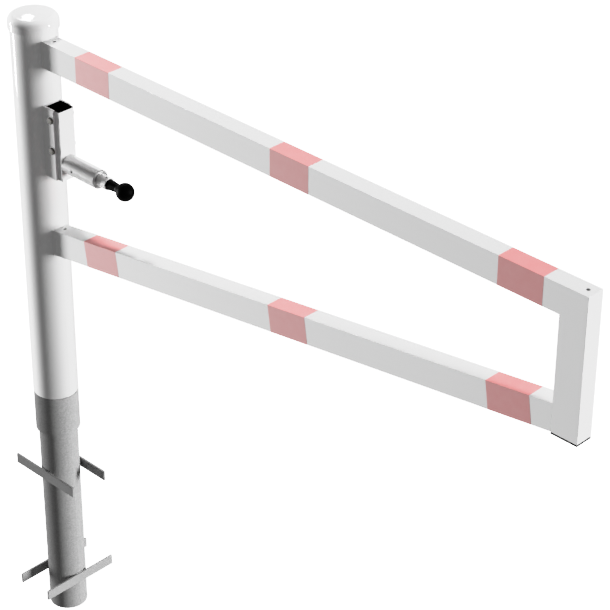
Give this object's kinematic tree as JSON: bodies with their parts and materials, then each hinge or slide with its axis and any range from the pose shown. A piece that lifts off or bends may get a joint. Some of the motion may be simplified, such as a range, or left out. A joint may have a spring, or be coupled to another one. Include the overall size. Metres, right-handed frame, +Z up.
{
  "type": "parking barrier gate",
  "caption": "Swing barrier gate: a round post with two converging white and red arms joined by an end upright, turning on an anchored ground tube, locked by a spring plunger with a ball knob.",
  "frame": {"origin": "on the mast axis at finished ground level, 600 mm above the lower end of the ground tube", "axes": "+Z up along the mast, +X out along the gate arms at rest, +Y to the left when looking from the post along the arms"},
  "size_m": [1.58, 0.2, 1.536],
  "materials": {
    "white_powder_coat": "semi-gloss white powder coat over galvanised steel",
    "white_gloss_cap": "gloss white moulded cap",
    "red_film": "pale red reflective film",
    "galvanised_steel": "hot-dip galvanised, fine mottled spangle",
    "galvanised_flat_bar": "hot-dip galvanised flat bar, dull",
    "zinc_plated_steel": "bright zinc plate",
    "weathered_fastener": "dull olive-grey zinc plate",
    "bright_steel": "turned and polished bright steel",
    "spring_steel": "oiled spring steel",
    "black_plastic": "moulded black polyethylene",
    "black_knob": "moulded black phenolic, satin",
    "bearing_plastic": "natural acetal bearing plastic"
  },
  "bodies": {
    "ground_post": {"mast_tube": "galvanised_steel", "ground_collar": "galvanised_steel", "upper_anchor_bars": "galvanised_flat_bar", "lower_anchor_bars": "galvanised_flat_bar", "mast_top_plate": "galvanised_steel", "pivot_bolt": "zinc_plated_steel", "thrust_washer": "bearing_plastic", "pivot_washer": "zinc_plated_steel", "pivot_lock_nut": "zinc_plated_steel"},
    "gate": {"gate_post": "white_powder_coat", "lower_bush": "bearing_plastic", "upper_bush": "bearing_plastic", "carrier_plate": "galvanised_steel", "post_cap": "white_gloss_cap", "top_arm": "white_powder_coat", "lower_arm": "white_powder_coat", "end_upright": "white_powder_coat", "end_plug": "black_plastic", "top_arm_bands": "red_film", "lower_arm_bands": "red_film", "lock_housing": "white_powder_coat", "housing_top_plug": "black_plastic", "housing_bottom_plug": "white_gloss_cap", "bracket_plate_front": "white_powder_coat", "bracket_plate_rear": "white_powder_coat", "bracket_bolts": "weathered_fastener", "bracket_washers": "weathered_fastener", "bracket_nuts": "weathered_fastener", "plunger_barrel": "bright_steel", "barrel_guide": "bright_steel"},
    "lock_plunger": {"locking_pin": "bright_steel", "pull_rod": "bright_steel", "lock_spring": "spring_steel", "pin_roll_pin": "spring_steel", "knob_roll_pin": "spring_steel", "knob_stud": "zinc_plated_steel", "ball_knob": "black_knob"}
  },
  "joints": [
    {"name": "gate_swing", "type": "hinge", "parent": "ground_post", "child": "gate", "pos_m": [0, 0, 0.6], "axis": [0, 0, 1], "continuous": true},
    {"name": "plunger_slide", "type": "slide", "parent": "gate", "child": "lock_plunger", "axis": [1, 0, 0], "range_m": [-0.02, 0], "deforming": ["lock_spring"]}
  ]
}
